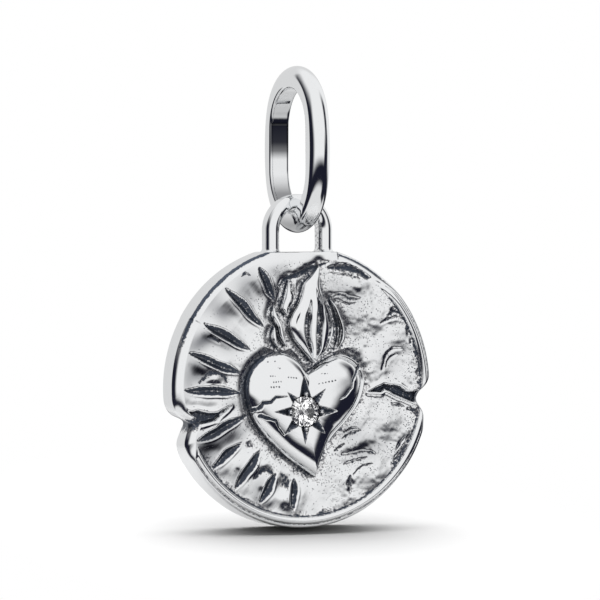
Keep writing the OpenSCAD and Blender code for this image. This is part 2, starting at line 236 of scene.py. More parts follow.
def mapped(tree, value, low, high, toLow=0.0, toHigh=1.0):
    links = {"Value": value, "From Min": low, "From Max": high, "To Min": toLow, "To Max": toHigh}
    return addNode(tree, "ShaderNodeMapRange", links, interpolation_type="SMOOTHSTEP").outputs["Result"]


def mixed(tree, factor, a, b):
    return addNode(tree, "ShaderNodeMix", {0: factor, 6: a, 7: b}, data_type="RGBA").outputs[2]


def objectPlace(tree):
    return addNode(tree, "ShaderNodeTexCoord").outputs["Object"]


def cloud(tree, where, scale, detail, roughness=0.5):
    links = {"Vector": where, "Scale": scale, "Detail": detail, "Roughness": roughness}
    return addNode(tree, "ShaderNodeTexNoise", links).outputs


def painted(tree, mark):  # a value that ringMesh stored on the points
    return addNode(tree, "ShaderNodeAttribute", attribute_name=mark).outputs["Fac"]


# shader groups of the silver finishes; their scales are per metre

silverTone = (0.885, 0.895, 0.905, 1)
slateTone = (0.055, 0.07, 0.102, 1)

patinaSpec = dict(
    wander=2.4, wanderFull=0.3, edge=(0.3, 0.7), border=1.2, borderTone=(0.5, 0.4, 0.34, 1), roughness=0.28,
    fleckScale=15000.0, fleckEdge=(0.48, 0.72, 0.0, 0.7), fleckThin=(0.9, 0.55, 0.12, 1.0),
    fleckTone=(0.32, 0.35, 0.41, 1))


def oxideAndShadePatinaGroup():  # patina laid from the painted mark, which also carries painted shade, with a broken warm edge and a mottled slate tone, under a painted shade tone
    spec = patinaSpec
    group, given, out = newGroup(
        "oxideAndShadePatina",
        [("Oxide And Shade", number, 0.0), ("Breakup", number, 9000.0), ("Silver", colour, silverTone),
         ("Slate", colour, slateTone), ("Painted Shade", number, 0.0), ("Painted Shade Tone", colour, slateTone)],
        [("Color", colour), ("Mask", number), ("Roughness", number)])
    where = objectPlace(group)
    fine = cloud(group, where, given["Breakup"], 5.0, 0.7)["Fac"]
    wander = times(group, maths(group, "SUBTRACT", fine, 0.5), spec["wander"])
    eaten = times(group, wander, mapped(group, given["Oxide And Shade"], 0.0, spec["wanderFull"]))
    mask = mapped(group, maths(group, "ADD", given["Oxide And Shade"], eaten), *spec["edge"])
    blotch = cloud(group, where, spec["fleckScale"], 4.0)["Fac"]
    thin = mapped(group, given["Oxide And Shade"], *spec["fleckThin"])
    flecks = times(group, mapped(group, blotch, *spec["fleckEdge"]), thin)
    dark = mixed(group, flecks, given["Slate"], spec["fleckTone"])
    border = times(group, times(group, mask, maths(group, "SUBTRACT", 1.0, mask)), spec["border"])
    metal = mixed(group, border, given["Silver"], spec["borderTone"])
    coated = mixed(group, mask, metal, dark)
    group.links.new(mixed(group, given["Painted Shade"], coated, given["Painted Shade Tone"]), out["Color"])
    group.links.new(mask, out["Mask"])
    group.links.new(mapped(group, mask, 0.0, 1.0, 0.0, spec["roughness"]), out["Roughness"])
    return group


polishSpec = dict(
    axis=(0.2, 1.0, 0.1), drawn=(1.0, 1.0, 0.04), hairEdge=(0.35, 0.8), hazeScale=700.0, hazeEdge=(0.3, 0.75))


def polishMarksGroup():  # hairline marks of polishing and wear
    spec = polishSpec
    group, given, out = newGroup(
        "polishMarks", [("Spacing", number, 5000.0), ("Turn", number, 0.6)],
        [("Height", number), ("Haze", number)])
    where = objectPlace(group)
    spin = {"Vector": where, "Angle": given["Turn"], "Axis": spec["axis"]}
    spun = addNode(group, "ShaderNodeVectorRotate", spin).outputs[0]
    drawn = vectorMaths(group, "MULTIPLY", spun, spec["drawn"])[0]
    hairs = cloud(group, drawn, given["Spacing"], 3.0)["Fac"]
    haze = cloud(group, where, spec["hazeScale"], 3.0)["Fac"]
    group.links.new(mapped(group, hairs, *spec["hairEdge"]), out["Height"])
    group.links.new(mapped(group, haze, *spec["hazeEdge"]), out["Haze"])
    return group


pitSpec = dict(warpScale=9000.0, warp=0.00007, few=0.85, reach=0.16, reachMore=0.3, edge=(1.0, 0.6))


def castPitsGroup():  # dark specks left by casting, thicker where the grit value is high
    spec = pitSpec
    group, given, out = newGroup(
        "castPits", [("Grit", number, 0.3), ("Spacing", number, 7000.0)],
        [("Pit", number), ("Height", number)])
    where = objectPlace(group)
    warp = cloud(group, where, spec["warpScale"], 2.0)["Color"]
    bent = vectorMaths(group, "MULTIPLY", warp, (spec["warp"],) * 3)[0]
    moved = vectorMaths(group, "ADD", where, bent)[0]
    spread = {"Vector": moved, "Scale": given["Spacing"], "Randomness": 1.0}
    cells = addNode(group, "ShaderNodeTexVoronoi", spread).outputs
    pick = addNode(group, "ShaderNodeSeparateColor", {0: cells["Color"]}).outputs
    few = maths(group, "LESS_THAN", pick[0], times(group, given["Grit"], spec["few"]))
    reach = maths(group, "ADD", times(group, pick[1], spec["reachMore"]), spec["reach"])
    hole = mapped(group, maths(group, "DIVIDE", cells["Distance"], reach), *spec["edge"])
    pit = times(group, hole, few)
    group.links.new(pit, out["Pit"])
    group.links.new(maths(group, "SUBTRACT", 1.0, pit), out["Height"])
    return group


oxideAndShadePatina = oxideAndShadePatinaGroup()
polishMarks = polishMarksGroup()
castPits = castPitsGroup()


def silverFinish(name, finish):
    material, tree = newMaterial(name)
    shader = tree.nodes["Principled BSDF"].inputs
    lines = {"Spacing": finish["markSpacing"], "Turn": finish["markTurn"]}
    marks = addNode(tree, "ShaderNodeGroup", lines, node_tree=polishMarks).outputs
    oxideAndShade = painted(tree, "oxideAndShade")
    bump = addNode(tree, "ShaderNodeBump", {
        "Strength": finish["markDepth"], "Distance": 0.00001, "Height": marks["Height"]}).outputs[0]
    if finish["pits"]:
        specks = {"Grit": painted(tree, "grit"), "Spacing": finish["pits"]}
        pits = addNode(tree, "ShaderNodeGroup", specks, node_tree=castPits).outputs
        bump = addNode(tree, "ShaderNodeBump", {
            "Strength": 0.6, "Distance": 0.00003, "Height": pits["Height"], "Normal": bump}).outputs[0]
        oxideAndShade = maths(tree, "MAXIMUM", oxideAndShade, times(tree, pits["Pit"], finish["pitTone"]))
    coat = {"Oxide And Shade": oxideAndShade, "Breakup": finish["breakup"], "Silver": silverTone, "Slate": slateTone}
    if finish["paintedShade"]:  # painted shade: a dark tone laid where the painted shade mark is set
        coat.update({"Painted Shade": painted(tree, "paintedShade"), "Painted Shade Tone": finish["paintedShade"]})
    patina = addNode(tree, "ShaderNodeGroup", coat, node_tree=oxideAndShadePatina).outputs
    haze = mapped(tree, marks["Haze"], 0.0, 1.0, *finish["roughness"])
    if finish["tooth"]:  # hammered ground is duller than its polished edges
        haze = maths(tree, "ADD", haze, times(tree, painted(tree, "tooth"), finish["tooth"]))
    tree.links.new(patina["Color"], shader["Base Color"])
    tree.links.new(maths(tree, "ADD", haze, patina["Roughness"]), shader["Roughness"])
    tree.links.new(mapped(tree, patina["Mask"], 0.0, 1.0, 1.0, 0.55), shader["Metallic"])
    tree.links.new(bump, shader["Normal"])
    return material


# its painted shade tone, near black, lays the bail's painted reflection bands
polishedSilver = silverFinish("polishedSilver", dict(
    markSpacing=4000.0, markTurn=0.5, markDepth=0.04, pits=None, tooth=None,
    paintedShade=(0.012, 0.013, 0.022, 1), breakup=9000.0, roughness=(0.04, 0.09)))
reliefSilver = silverFinish("reliefSilver", dict(
    markSpacing=6000.0, markTurn=1.1, markDepth=0.06, pits=None, tooth=None,
    paintedShade=None, breakup=9000.0, roughness=(0.06, 0.11)))
# its painted shade tone greys the ground's soft patches of painted shade
hammeredSilver = silverFinish("hammeredSilver", dict(
    markSpacing=5000.0, markTurn=-0.7, markDepth=0.1, pits=15000.0, pitTone=0.85, tooth=0.06,
    paintedShade=(0.06, 0.065, 0.085, 1), breakup=8000.0, roughness=(0.06, 0.12)))

stoneSpec = dict(
    bend=1.85, cloudScale=2500.0, cool=(0.96, 0.97, 1.0, 1), warm=(1.0, 0.99, 0.97, 1),
    wear=(0.3, 0.8, 0.0, 0.006))


def stoneFinish():
    spec = stoneSpec
    material, tree = newMaterial("clearStone")
    shader = tree.nodes["Principled BSDF"].inputs
    shader["Transmission Weight"].default_value = 1.0
    shader["IOR"].default_value = spec["bend"]
    haze = cloud(tree, objectPlace(tree), spec["cloudScale"], 2.0)["Fac"]
    tree.links.new(mixed(tree, haze, spec["cool"], spec["warm"]), shader["Base Color"])
    tree.links.new(mapped(tree, haze, *spec["wear"]), shader["Roughness"])
    return material


clearStone = stoneFinish()
print("finishes made")


# bail: an oval ring of band, flat inside and round outside

bailSpec = dict(
    innerEdge=0.14, bow=0.17, sectionSteps=72, endSteps=110, sideSteps=40,
    # painted reflection bands on the inside: height and strength, then how they fade across the band and to
    # the front
    paintedShade=[(-5.6, 0.75), (-5.0, 0.65), (-4.5, 0.22), (-4.1, 0.03), (-3.4, 0.05), (-3.0, 0.8), (-2.6, 0.98),
          (-1.75, 1.0), (-1.6, 0.25), (0.0, 0.3)],
    paintedShadeEdge=(0.12, 0.02), paintedShadeDeep=(0.3, 1.2), underShade=0.5, underEdge=(0.95, 0.35))


def bandSection(thick, width, innerEdge, count):  # outwards and across, in even steps round a D
    half = width / 2
    turns = np.radians(np.linspace(-90, 90, 61))
    outer = np.stack([thick - half + half * np.cos(turns), half * np.sin(turns)], 1)
    corner = np.radians(np.linspace(0, 90, 10))
    upper = np.stack([innerEdge * (1 - np.sin(corner)), half - innerEdge * (1 - np.cos(corner))], 1)
    lower = upper[::-1] * [1, -1]
    loop = np.vstack([outer, upper, lower, outer[:1]])
    along = np.concatenate([[0], np.cumsum(np.hypot(*np.diff(loop, axis=0).T))])
    even = np.linspace(0, along[-1], count, endpoint=False)
    return np.stack([np.interp(even, along, loop[:, k]) for k in range(2)])


def makeBail():
    spec = bailSpec
    low, high = boxOf("bail")
    thick, width = high[2], high[0] - low[0]
    halfD, halfH = high[1] - thick, -(low[2] + thick) / 2
    # the outside follows an oval of four arcs: two ends and two slightly bowed sides
    endR = halfD - spec["bow"]
    rise = halfH - endR
    sideR = (halfD**2 + rise**2 - endR**2) / (2 * spec["bow"])
    lean = math.atan2(rise, sideR - halfD)
    path = []
    for side, begin in ((1, 0.0), (-1, math.pi)):
        for turn in np.linspace(-lean, lean, spec["sideSteps"], endpoint=False):
            path.append((side * (halfD - sideR), 0.0, sideR, begin + turn))
        for turn in np.linspace(lean, math.pi - lean, spec["endSteps"], endpoint=False):
            path.append((0.0, side * rise, endR, begin + turn))
    y, z, radius, turn = (np.array(x)[:, None] for x in zip(*path))
    c, s = np.cos(turn), np.sin(turn)
    out, across = bandSection(thick, width, spec["innerEdge"], spec["sectionSteps"])[:, None, :]
    # the inside keeps the straight-sided oval that the loop slides on
    straight = halfH - halfD
    innerY, innerZ = y + radius * c, z + radius * s
    toSide = (halfD - np.abs(innerY)) / np.maximum(np.abs(c), 1e-6)
    endZ = innerZ - np.sign(innerZ) * straight
    along = innerY * c + endZ * s
    toEnd = np.sqrt(along**2 - innerY**2 - endZ**2 + halfD**2) - along
    gap = np.where(np.abs(innerZ + toSide * s) <= straight, toSide, toEnd)
    reach = radius + out + gap * (1 - out / thick)
    rings = np.stack([across + 0 * turn, y + reach * c, z - halfH + reach * s], axis=-1)
    # painted reflection bands on the far inside and painted shade on the underside
    height, strength = zip(*spec["paintedShade"])
    paintedShade = np.interp(rings[..., 2], height, strength) * smooth(*spec["paintedShadeEdge"], out)
    paintedShade = paintedShade * smooth(*spec["paintedShadeDeep"], rings[..., 1])
    under = spec["underShade"] * smooth(*spec["underEdge"], rings[..., 2] - low[2])
    piece = ringMesh("bailRing", rings, closed=True, marks={"paintedShade": np.maximum(paintedShade, under)})
    seat(piece, "bail", "polished_silver", polishedSilver, "bail")


makeBail()
print("bail made")


# hanging loop: a strap bent to an arch, with a small flare at each foot

loopSpec = dict(
    strap=0.65, depth=1.05, flare=0.15, sunk=0.12, innerDarkening=0.3, innerDarkeningEdge=(0.5, 0.95),
    sectionSteps=56, archSteps=45, legSteps=30, legCrowd=1.6)


def makeLoop():
    spec = loopSpec
    low, high = boxOf("hanging_loop")
    half, flat = spec["strap"] / 2, (spec["depth"] - spec["strap"]) / 2
    midR = high[0] - spec["flare"] - half
    archZ = high[2] - midR - half
    turns = np.linspace(0, 2 * math.pi, spec["sectionSteps"], endpoint=False)
    facing = np.stack(polar(1, turns), 1)
    stretch = np.sign(facing[:, 1:]) * [0, flat]
    rings = []
    legs = np.linspace(0, 1, spec["legSteps"]) ** spec["legCrowd"] * (archZ - low[2])
    for z in np.concatenate([[low[2] - spec["sunk"]], low[2] + legs]):
        up = np.clip(z - low[2], 0, spec["flare"])
        grow = spec["flare"] - math.sqrt(spec["flare"] ** 2 - (spec["flare"] - up) ** 2)
        edge = facing * (half + grow) + stretch
        rings.append(np.stack([-midR + edge[:, 0], edge[:, 1], np.full(len(edge), z)], 1))
    edge = facing * half + stretch
    reach = midR - edge[:, 0]
    for turn in np.linspace(0, math.pi / 2, spec["archSteps"])[1:]:
        rings.append(np.stack([-reach * math.cos(turn), edge[:, 1], archZ + reach * math.sin(turn)], 1))
    left = np.array(rings)
    rings = np.concatenate([left, left[-2::-1] * [-1, 1, 1]])
    # the inner face is darker
    inward = spec["innerDarkening"] * smooth(*spec["innerDarkeningEdge"], facing[:, 0])
    piece = ringMesh("hangingLoop", rings, start=rings[0].mean(0), end=rings[-1].mean(0),
                     marks={"oxideAndShade": np.tile(inward, (len(rings), 1))})
    seat(piece, "medallion", "polished_silver", polishedSilver, "hanging_loop")


makeLoop()
print("hanging loop made")


# heart and star: outlines in half widths and heights, as the solids have them

heartSpec = dict(
    middle=0.05, width=6.2, height=5.9, top=1.65, rise=0.7, sunk=0.14, wall=0.05, power=3.6, flatter=3.4,
    left=[[0.01, -0.16], [-0.18, -0.05], [-0.45, 0], [-0.76, -0.05], [-0.965, -0.18],
          [-0.985, -0.36], [-0.83, -0.57], [-0.41, -0.80], [0.14, -1]],
    right=[[0.14, -1], [0.25, -0.84], [0.41, -0.69], [0.67, -0.55], [0.89, -0.40], [0.98, -0.24],
           [0.93, -0.14], [0.80, -0.06], [0.54, -0.02], [0.24, -0.09], [0.01, -0.16]],
    star=(-0.25, -1.12), seatRadius=0.76, seatFloor=-0.05, spokes=600, rings=110, ringCrowd=1.5,
    # bright lip along the right edge: where it grows, its middle and half width as shares of the reach
    lipFrom=(0.7, 1.3), lipAt=0.97, lipHalf=0.029, lipHeight=0.2, lipTilt=0.1, domeShrink=0.05,
    # reach of the star's arms, from the right and round to the left
    arms=[1.77, 1.5, 1.69, 1.32, 1.6, 1.52, 1.56, 1.5], armWidth=0.8, armDepth=0.35,
    # cracks: points and half width
    cracks=[
        ([(-2.9, -1.05), (-2.55, -0.95), (-2.35, -0.68), (-2.0, -0.66), (-1.75, -0.42), (-1.2, -0.4)], 0.15),
        ([(2.75, 0.95), (2.5, 0.6), (2.3, 0.3), (2.25, -0.02), (1.85, -0.45), (1.6, -0.55)], 0.1),
        ([(-2.5, -1.3), (-2.1, -1.4), (-1.75, -1.52), (-1.61, -1.86), (-1.33, -2.2)], 0.13)],
    crackDepth=0.09,
    # rows of small punch marks: both ends and how many
    dashes=[
        ((-2.0, 0.58), (-1.78, 0.56), 3), ((-1.1, 0.5), (-0.7, 0.46), 4), ((-1.86, 0.28), (-1.5, 0.3), 4),
        ((-2.0, 0.04), (-1.6, 0.05), 4), ((-1.6, 0.96), (-1.52, 0.93), 2),
        ((-2.05, 1.24), (-1.7, 1.26), 2), ((0.66, 0.65), (0.95, 0.66), 3),
        ((0.48, 0.18), (1.35, 0.31), 6), ((1.0, 1.03), (1.05, 1.03), 1)],
    dashSize=(0.085, 0.035), dashDepth=0.015, ripple=0.004, rippleSize=0.7)


def heartOutline():
    spec = heartSpec
    halves = np.vstack([curve(spec[side], 220)[:-1] for side in ("left", "right")])
    return halves * [spec["width"] / 2, spec["height"]] + [spec["middle"], spec["top"]]


heartEdge = heartOutline()


def makeHeart():
    spec = heartSpec
    star = np.array(spec["star"])
    around = heartEdge - star
    turn = np.arctan2(around[:, 1], around[:, 0])
    order = np.argsort(turn)
    turn, reach = turn[order], np.hypot(*around[order].T)
    spokes = np.linspace(-math.pi, math.pi, spec["spokes"], endpoint=False)
    edge = np.interp(spokes, np.r_[turn - 2 * math.pi, turn, turn + 2 * math.pi], np.tile(reach, 3))
    # rings crowd together at the steep edge
    share = 1 - (1 - np.linspace(0, 1, spec["rings"])) ** spec["ringCrowd"]
    seatR = spec["seatRadius"]
    radius = seatR + (edge[None, :] - seatR) * share[:, None]
    u, v = polar(radius, spokes, star)
    out = radius / edge

    def dome(s, turn):  # flatter towards the lower left
        power = spec["power"] + spec["flatter"] * np.clip(np.cos(turn + 2.0), 0, 1)
        return spec["rise"] * (spec["wall"] + (1 - spec["wall"]) * np.sqrt(np.clip(1 - s**power, 0, 1)))

    lip = smooth(*spec["lipFrom"], u)
    crest = (out - spec["lipAt"]) / spec["lipHalf"]
    crown = spec["lipHeight"] * lip * (1 + spec["lipTilt"] * crest) * np.sqrt(np.clip(1 - crest**4, 0, 1))
    h = np.maximum(dome(np.minimum(out * (1 + spec["domeShrink"] * lip), 1), spokes), crown)
    oxideAndShade = 0.55 * smooth(0.985, 1.0, out) * (1 - smooth(0.5, 1.2, u))
    # painted shade: a dark crescent on the heart's lower-left slope
    paintedFlankShade = smooth(0.962, 0.985, out) * smooth(-1.2, -2.4, u) * smooth(-1.5, -0.7, v)
    oxideAndShade = np.maximum(oxideAndShade, 0.85 * paintedFlankShade)
    for arm, length in enumerate(spec["arms"]):
        angle = arm * math.pi / 4
        limit = np.interp(angle if angle <= math.pi else angle - 2 * math.pi, spokes, edge)
        x, y = alongAcross(u, v, *star, angle)
        root = spec["rise"] - spec["armDepth"]
        keel = root + (dome(length / limit, angle) - root) * x / length
        cut = np.where(x > 0, keel + np.abs(y) * spec["armDepth"] / (spec["armWidth"] / 2), np.inf)
        oxideAndShade = np.where(cut < h, np.maximum(oxideAndShade, 0.55 + 0.3 * smooth(0.0, 0.12, h - cut)), oxideAndShade)
        h = np.minimum(h, cut)
    for points, width in spec["cracks"]:
        away, along = lineDistance(u, v, points)
        wide = width * (1 - 0.75 * along) * (1 + 0.3 * hammerNoise(u, v, 0.2, 5))
        h = h - spec["crackDepth"] * (1 - smooth(0.35, 1.0, away / wide))
        oxideAndShade = np.maximum(oxideAndShade, 0.8 * (1 - smooth(0.55, 0.9, away / wide)))
    long, thin = spec["dashSize"]
    for begin, stop, count in spec["dashes"]:
        for a, b in np.linspace(begin, stop, count):
            mark = bell(u - a, long / 2) * bell(v - b, thin)
            oxideAndShade = np.maximum(oxideAndShade, 0.85 * mark)
            h = h - spec["dashDepth"] * mark
    h = h + spec["ripple"] * hammerNoise(u, v, spec["rippleSize"], 8) * smooth(0, 0.1, h)
    # seat for the stone inside the star, then the wall that goes down into the ground
    floor = np.full(spec["spokes"], spec["seatFloor"])
    seatRows = [(seatR * k, floor) for k in (0.3, 0.7, 0.98)]
    seatRows += [(seatR, floor + (h[0] - floor) * k) for k in (0.05, 0.5, 0.9)]
    inner = np.array([onFace(*polar(r, spokes, star), z) for r, z in seatRows])
    foot = np.array([onFace(u[-1], v[-1], h[-1] + (-spec["sunk"] - h[-1]) * k) for k in (0.3, 0.6, 1.0)])
    rings = np.concatenate([inner, onFace(u, v, h), foot])
    # the stone's seat is painted fully dark, as painted shade under the stone
    marks = np.concatenate([np.full(inner.shape[:2], 1.0), oxideAndShade, np.full(foot.shape[:2], 0.9)])
    start, end = (onFace(*star, level) for level in (spec["seatFloor"], -spec["sunk"]))
    piece = ringMesh("heartRelief", rings, start, end, marks={"oxideAndShade": marks})
    seat(piece, "medallion", "polished_silver", reliefSilver, "heart")


makeHeart()
print("heart made")


# setting beads: grains raised at the roots of the upright arms

beadSpec = dict(
    radius=0.12, reach=0.82, level=0.76, flat=0.9, foot=0.3, post=0.5, steps=28, topRows=4, tone=(0.4, 0.7))


def makeBeads():
    spec = beadSpec
    size, level = spec["radius"], spec["level"]
    turns = np.linspace(0, 2 * math.pi, spec["steps"], endpoint=False)
    tilt = np.radians(np.linspace(86, -50, 14))
    rows = [(size * math.cos(t), level + size * spec["flat"] * math.sin(t)) for t in tilt]
    rows += [(size * spec["post"], z) for z in np.linspace(level - size, spec["foot"], 4)]
    top, side = spec["tone"]
    tones = np.where(np.arange(len(rows)) < spec["topRows"], top, side)
    for place, angle in zip(("East", "North", "West", "South"), np.radians([0, 90, 180, 270])):
        middle = polar(spec["reach"], angle, heartSpec["star"])
        rings = np.array([onFace(*polar(r, turns, middle), z) for r, z in rows])
        start, end = (onFace(*middle, rows[k][1]) for k in (0, -1))
        piece = ringMesh("settingBead" + place, rings, start, end,
                         marks={"oxideAndShade": np.repeat(tones[:, None], len(turns), 1)})
        seat(piece, "medallion", "polished_silver", reliefSilver, "setting_beads")


makeBeads()

stoneNode = frame["nodes"]["stone"]
stoneNode.data.materials.clear()
stoneNode.data.materials.append(clearStone)
print("stone and beads made")


# flame: edges from base to tip, across in flame widths and up in flame heights above the heart's lobes

flameSpec = dict(
    middle=0.2, width=3.8, height=4.1, base=1.65, sunk=0.14, stations=110, cells=96,
    baseRun=0.05, tipRun=0.5, tipPower=0.4, sectionPower=3.4, grooveDepth=0.72, tone=0.6, footTone=0.9,
    # grooves: middle and half width across the tongue, where each begins and stops along it, depth
    pieces=dict(
        flameCore=dict(
            node="flame_core", rise=0.42,
            left=[[0.04, -0.12], [-0.10, 0.03], [-0.22, 0.17], [-0.275, 0.31], [-0.24, 0.44],
                  [-0.145, 0.58], [-0.105, 0.69], [-0.07, 0.79], [0.03, 0.88], [0.145, 1]],
            right=[[0.04, -0.12], [0.21, -0.01], [0.31, 0.13], [0.345, 0.29], [0.29, 0.46],
                   [0.21, 0.61], [0.16, 0.76], [0.155, 0.89], [0.145, 1]],
            grooves=[(-0.66, 0.14, 0.3, 0.52, 0.4), (-0.28, 0.2, 0.02, 0.62, 0.95),
                     (0.32, 0.21, 0.02, 0.74, 1.0), (0.77, 0.13, 0.04, 0.7, 0.85)]),
        flameTongueLeftUpper=dict(
            node="flame_tongue_left_upper", rise=0.3,
            left=[[-0.32, 0.43], [-0.38, 0.51], [-0.34, 0.63], [-0.31, 0.73], [-0.28, 0.83]],
            right=[[-0.32, 0.43], [-0.26, 0.52], [-0.20, 0.62], [-0.24, 0.72], [-0.28, 0.83]],
            grooves=[(0.4, 0.4, 0.0, 0.85, 0.9)]),
        flameTongueLeftLower=dict(
            node="flame_tongue_left_lower", rise=0.3,
            left=[[-0.33, 0.07], [-0.41, 0.18], [-0.44, 0.30], [-0.50, 0.42], [-0.48, 0.53]],
            right=[[-0.33, 0.07], [-0.35, 0.20], [-0.38, 0.32], [-0.44, 0.44], [-0.48, 0.53]],
            grooves=[]),
        flameLickLeft=dict(
            node="flame_lick_left", rise=0.28,
            left=[[-0.43, 0.05], [-0.50, 0.14], [-0.505, 0.22], [-0.47, 0.30]],
            right=[[-0.43, 0.05], [-0.445, 0.13], [-0.455, 0.21], [-0.47, 0.30]],
            grooves=[]),
        flameTongueRight=dict(
            node="flame_tongue_right", rise=0.3,
            left=[[0.36, 0.04], [0.40, 0.16], [0.405, 0.30], [0.355, 0.47], [0.29, 0.61]],
            right=[[0.36, 0.04], [0.48, 0.13], [0.49, 0.24], [0.44, 0.38], [0.37, 0.53], [0.29, 0.61]],
            grooves=[(-0.35, 0.35, 0.0, 0.95, 0.8)])))


def flamePlace(points):
    spec = flameSpec
    return np.array(points) * [spec["width"], spec["height"]] + [spec["middle"], spec["base"]]


def makeFlame(name, tongue):
    spec = flameSpec
    n, cells = spec["stations"], spec["cells"]
    left, right = (flamePlace(curve(tongue[side], n)) for side in ("left", "right"))
    along = np.linspace(0, 1, n)[1:-1, None]
    t = np.linspace(-1, 1, cells)[None, :]
    share = (t + 1) / 2
    u = left[1:-1, :1] + (right - left)[1:-1, :1] * share
    v = left[1:-1, 1:] + (right - left)[1:-1, 1:] * share
    lift = np.sqrt(1 - (1 - np.clip(along / spec["baseRun"], 0, 1)) ** 2)
    lift = lift * np.clip((1 - along) / spec["tipRun"], 0, 1) ** spec["tipPower"]
    h = tongue["rise"] * lift * np.sqrt(np.clip(1 - np.abs(t) ** spec["sectionPower"], 0, 1))
    oxideAndShade = spec["tone"] * smooth(0.95, 1.0, np.abs(t)) + 0 * along
    for middle, wide, begin, stop, depth in tongue["grooves"]:
        run = between(begin, begin + 0.12, stop - 0.2, stop, along)
        sway = middle + 0.03 * np.sin(9 * along + 7 * middle)
        cut = np.clip(1 - ((t - sway) / (wide * (0.45 + 0.55 * run))) ** 2, 0, 1) ** 2 * run
        h = h * (1 - spec["grooveDepth"] * depth * cut)
        oxideAndShade = np.maximum(oxideAndShade, spec["tone"] * depth * smooth(0.3, 0.7, cut))
    foot = onFace(u[:, [-1, 0]], v[:, [-1, 0]], -spec["sunk"])
    rings = np.concatenate([onFace(u, v, h), foot], axis=1)
    marks = np.concatenate([oxideAndShade, np.full(foot.shape[:2], spec["footTone"])], axis=1)
    start, end = (onFace(*left[k], -spec["sunk"]) for k in (0, -1))
    piece = ringMesh(name, rings, start, end, marks={"oxideAndShade": marks})
    seat(piece, "medallion", "polished_silver", reliefSilver, tongue["node"])


for flameName, flamePiece in flameSpec["pieces"].items():
    makeFlame(flameName, flamePiece)
print("flame made")


# medallion disc: hammered ground with carved rays, cracks, a rolled rim and a plain back

